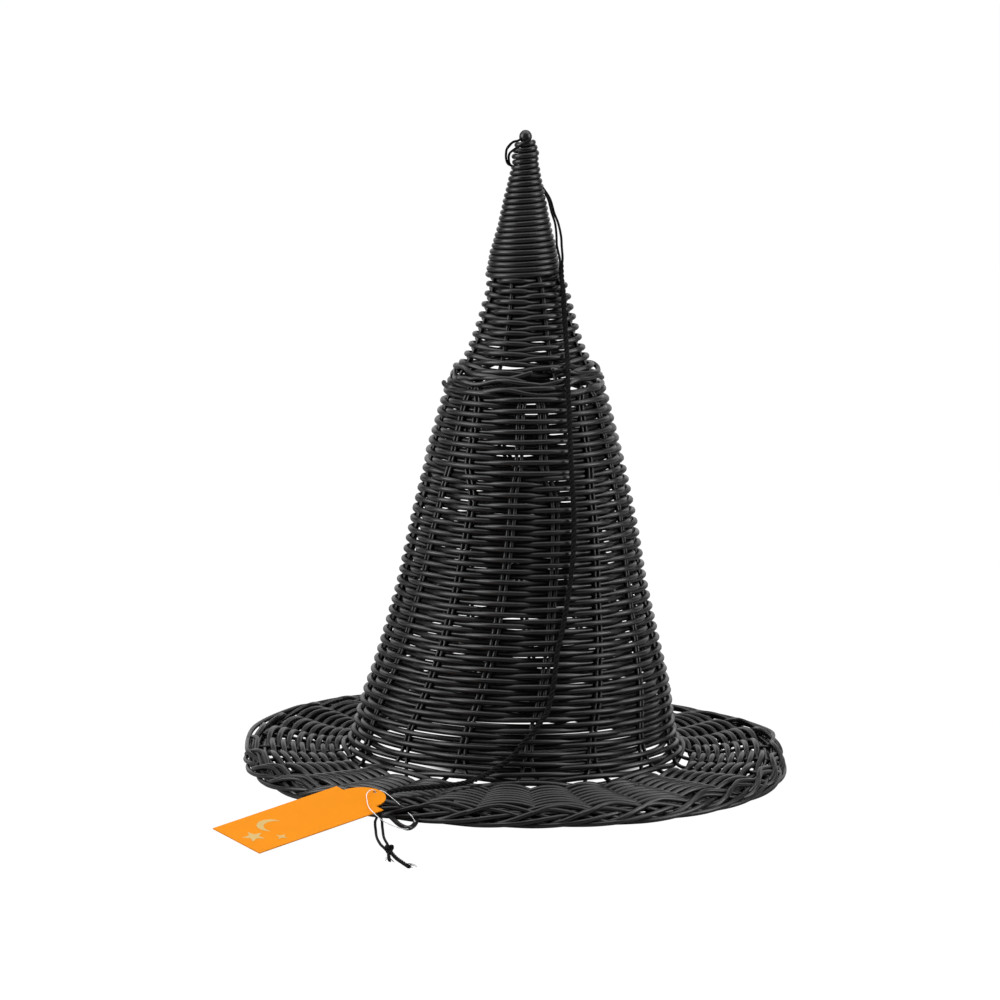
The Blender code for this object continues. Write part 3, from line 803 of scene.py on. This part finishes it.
def crescent_outline(centre, radius, bite, shift, turn):
    """Outer arc and, back along it, the arc of the circle that bites into it."""
    reach = (radius ** 2 - bite ** 2 + shift ** 2) / (2 * shift)
    outer = math.acos(max(-1.0, min(1.0, reach / radius)))
    inner = math.acos(max(-1.0, min(1.0, (reach - shift) / bite)))
    outline = []
    for k in range(25):
        angle = outer + (2 * math.pi - 2 * outer) * k / 24
        outline.append((radius * math.cos(angle), radius * math.sin(angle)))
    for k in range(1, 24):
        angle = 2 * math.pi - inner - (2 * math.pi - 2 * inner) * k / 24
        outline.append((shift + bite * math.cos(angle), bite * math.sin(angle)))
    c, s = math.cos(math.radians(turn)), math.sin(math.radians(turn))
    return [(centre[0] + x * c - y * s, centre[1] + x * s + y * c) for x, y in outline]


def add_tag(card_material, print_material):
    """The card is the CAD node; its printed shapes are thin inlays just above its face."""
    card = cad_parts["swing_tag"]
    card.data.materials.clear()
    card.data.materials.append(card_material)
    turn = Euler([math.radians(angle) for angle in TAG_TILT]).to_matrix().to_4x4()
    where = Matrix.Translation(Vector(TAG_CORNER) * MM) @ turn
    shapes = {"star": star_outline((10.4, 17.4), 5, 6.4, 2.7, 10.0),
              "moon": crescent_outline((26.2, 22.8), 7.4, 6.6, 3.2, -62.0),
              "spark": star_outline((21.9, 8.0), 4, 3.8, 1.2, 20.0)}
    for name, outline in shapes.items():
        curve = bpy.data.curves.new(f"tag_{name}", "CURVE")
        curve.dimensions = "2D"
        curve.fill_mode = "BOTH"
        curve.extrude = 0.03 * MM
        spline = curve.splines.new("POLY")
        spline.points.add(len(outline) - 1)
        for control, (x, y) in zip(spline.points, outline):
            control.co = (x * MM, y * MM, 0.0, 1.0)
        spline.use_cyclic_u = True
        made = bpy.data.objects.new(f"tag_{name}", curve)
        bpy.context.scene.collection.objects.link(made)
        made.matrix_world = where @ Matrix.Translation((0.0, 0.0, (TAG_THICKNESS / 2 + 0.04) * MM))
        curve.materials.append(print_material)
        finish_piece(made, body="tag")


# ---------------------------------------------------------------- materials
def new_material(name, colour, roughness):
    material = bpy.data.materials.new(name)
    material.use_nodes = True
    shader = material.node_tree.nodes["Principled BSDF"]
    shader.inputs["Base Color"].default_value = (*colour, 1.0)
    shader.inputs["Roughness"].default_value = roughness
    return material, material.node_tree.nodes, material.node_tree.links, shader


def noise(nodes, links, vector, scale, detail=3.0, stretch=(1.0, 1.0, 1.0)):
    mapping = nodes.new("ShaderNodeMapping")
    mapping.inputs["Scale"].default_value = stretch
    texture = nodes.new("ShaderNodeTexNoise")
    texture.inputs["Scale"].default_value = scale
    texture.inputs["Detail"].default_value = detail
    links.new(vector, mapping.inputs["Vector"])
    links.new(mapping.outputs["Vector"], texture.inputs["Vector"])
    return texture.outputs["Fac"]


def spread_range(nodes, links, value, low, high, start=0.3, end=0.7):
    scale = nodes.new("ShaderNodeMapRange")
    scale.inputs["From Min"].default_value = start
    scale.inputs["From Max"].default_value = end
    scale.inputs["To Min"].default_value = low
    scale.inputs["To Max"].default_value = high
    links.new(value, scale.inputs["Value"])
    return scale.outputs["Result"]


def mixed_colour(nodes, links, factor, low, high):
    mix = nodes.new("ShaderNodeMix")
    mix.data_type = "RGBA"
    mix.inputs["A"].default_value = (*low, 1.0)
    mix.inputs["B"].default_value = (*high, 1.0)
    links.new(factor, mix.inputs["Factor"])
    return mix.outputs["Result"]


def bump(nodes, links, height, strength, distance, shader, before=None):
    node = nodes.new("ShaderNodeBump")
    node.inputs["Strength"].default_value = strength
    node.inputs["Distance"].default_value = distance
    links.new(height, node.inputs["Height"])
    if before is not None:
        links.new(before, node.inputs["Normal"])
    links.new(node.outputs["Normal"], shader.inputs["Normal"])
    return node.outputs["Normal"]


def strand_material(name, dark, light, roughness):
    """Extruded plastic wicker: faint lengthwise draw lines, patchy tone and patchy gloss."""
    material, nodes, links, shader = new_material(name, light, roughness)
    grain = nodes.new("ShaderNodeAttribute")
    grain.attribute_name = "grain"
    along = grain.outputs["Vector"]
    where = nodes.new("ShaderNodeTexCoord").outputs["Object"]
    tone = noise(nodes, links, where, 38.0, 4.0)
    links.new(mixed_colour(nodes, links, spread_range(nodes, links, tone, 0.0, 1.0), dark, light),
              shader.inputs["Base Color"])
    gloss = noise(nodes, links, along, 1.0, 3.0, (90.0, 500.0, 500.0))
    links.new(spread_range(nodes, links, gloss, roughness - 0.07, roughness + 0.09),
              shader.inputs["Roughness"])
    lines = noise(nodes, links, along, 1.0, 2.0, (60.0, 3200.0, 3200.0))
    bump(nodes, links, lines, 0.35, 0.00006, shader)
    return material


def cord_material(name):
    """Matt black cotton cord with the slant of its fibres."""
    material, nodes, links, shader = new_material(name, (0.006, 0.006, 0.0065), 0.9)
    shader.inputs["Specular IOR Level"].default_value = 0.12
    grain = nodes.new("ShaderNodeAttribute")
    grain.attribute_name = "grain"
    fibre = noise(nodes, links, grain.outputs["Vector"], 1.0, 3.0, (900.0, 2600.0, 2600.0))
    links.new(mixed_colour(nodes, links, spread_range(nodes, links, fibre, 0.0, 1.0),
                           (0.003, 0.003, 0.0035), (0.012, 0.012, 0.013)), shader.inputs["Base Color"])
    bump(nodes, links, fibre, 0.7, 0.0002, shader)
    return material


def bead_material(name):
    material, nodes, links, shader = new_material(name, (0.012, 0.012, 0.013), 0.28)
    where = nodes.new("ShaderNodeTexCoord").outputs["Object"]
    scuff = noise(nodes, links, where, 600.0, 4.0)
    links.new(spread_range(nodes, links, scuff, 0.2, 0.4), shader.inputs["Roughness"])
    bump(nodes, links, scuff, 0.1, 0.0001, shader)
    return material


def card_material(name, low, high, roughness):
    """Printed card: even ink over a faint paper tooth."""
    material, nodes, links, shader = new_material(name, high, roughness)
    where = nodes.new("ShaderNodeTexCoord").outputs["Object"]
    shader.inputs["Specular IOR Level"].default_value = 0.12
    ink = noise(nodes, links, where, 55.0, 3.0)
    links.new(mixed_colour(nodes, links, spread_range(nodes, links, ink, 0.0, 1.0), low, high),
              shader.inputs["Base Color"])
    tooth = noise(nodes, links, where, 2600.0, 3.0)
    links.new(spread_range(nodes, links, tooth, roughness - 0.05, roughness + 0.08),
              shader.inputs["Roughness"])
    bump(nodes, links, tooth, 0.15, 0.00008, shader)
    return material


def nylon_material(name):
    material, nodes, links, shader = new_material(name, (0.80, 0.81, 0.82), 0.18)
    where = nodes.new("ShaderNodeTexCoord").outputs["Object"]
    haze = noise(nodes, links, where, 300.0, 2.0)
    links.new(spread_range(nodes, links, haze, 0.12, 0.3), shader.inputs["Roughness"])
    return material


def wood_material(name):
    """Turned dowel, stained black, with lengthwise grain."""
    material, nodes, links, shader = new_material(name, (0.030, 0.024, 0.020), 0.65)
    where = nodes.new("ShaderNodeTexCoord").outputs["Object"]
    rings = noise(nodes, links, where, 1.0, 4.0, (420.0, 420.0, 30.0))
    links.new(mixed_colour(nodes, links, spread_range(nodes, links, rings, 0.0, 1.0),
                           (0.016, 0.013, 0.011), (0.040, 0.031, 0.025)), shader.inputs["Base Color"])
    bump(nodes, links, rings, 0.3, 0.0002, shader)
    return material


# ---------------------------------------------------------------- build
def build():
    add_camera()
    add_world()
    add_floor()
    add_lights()
    weave = strand_material("wicker_black", (0.0038, 0.0036, 0.0041), (0.0098, 0.0093, 0.0101), 0.35)
    rods = strand_material("rod_black", (0.005, 0.0048, 0.0052), (0.0105, 0.0101, 0.0108), 0.40)
    cotton = cord_material("cord_black")
    add_cord(cotton)
    add_thread(nylon_material("nylon_clear"))
    wall = Wall(STAKE_LINE)
    add_upper_weavers(wall, weave)
    add_crown_weavers(wall, weave)
    add_brim_weavers(wall, weave)
    add_collar(wall, weave)
    add_stakes(wall, rods)
    add_tip(weave, bead_material("bead_black"))
    add_border(weave)
    add_tag(card_material("tag_orange", (0.72, 0.228, 0.0005), (0.75, 0.238, 0.001), 0.6),
            card_material("tag_print_gold", (0.56, 0.385, 0.135), (0.60, 0.415, 0.155), 0.4))
    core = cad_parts["tip_core"]
    core.data.materials.clear()
    core.data.materials.append(wood_material("dowel_wood"))


build()
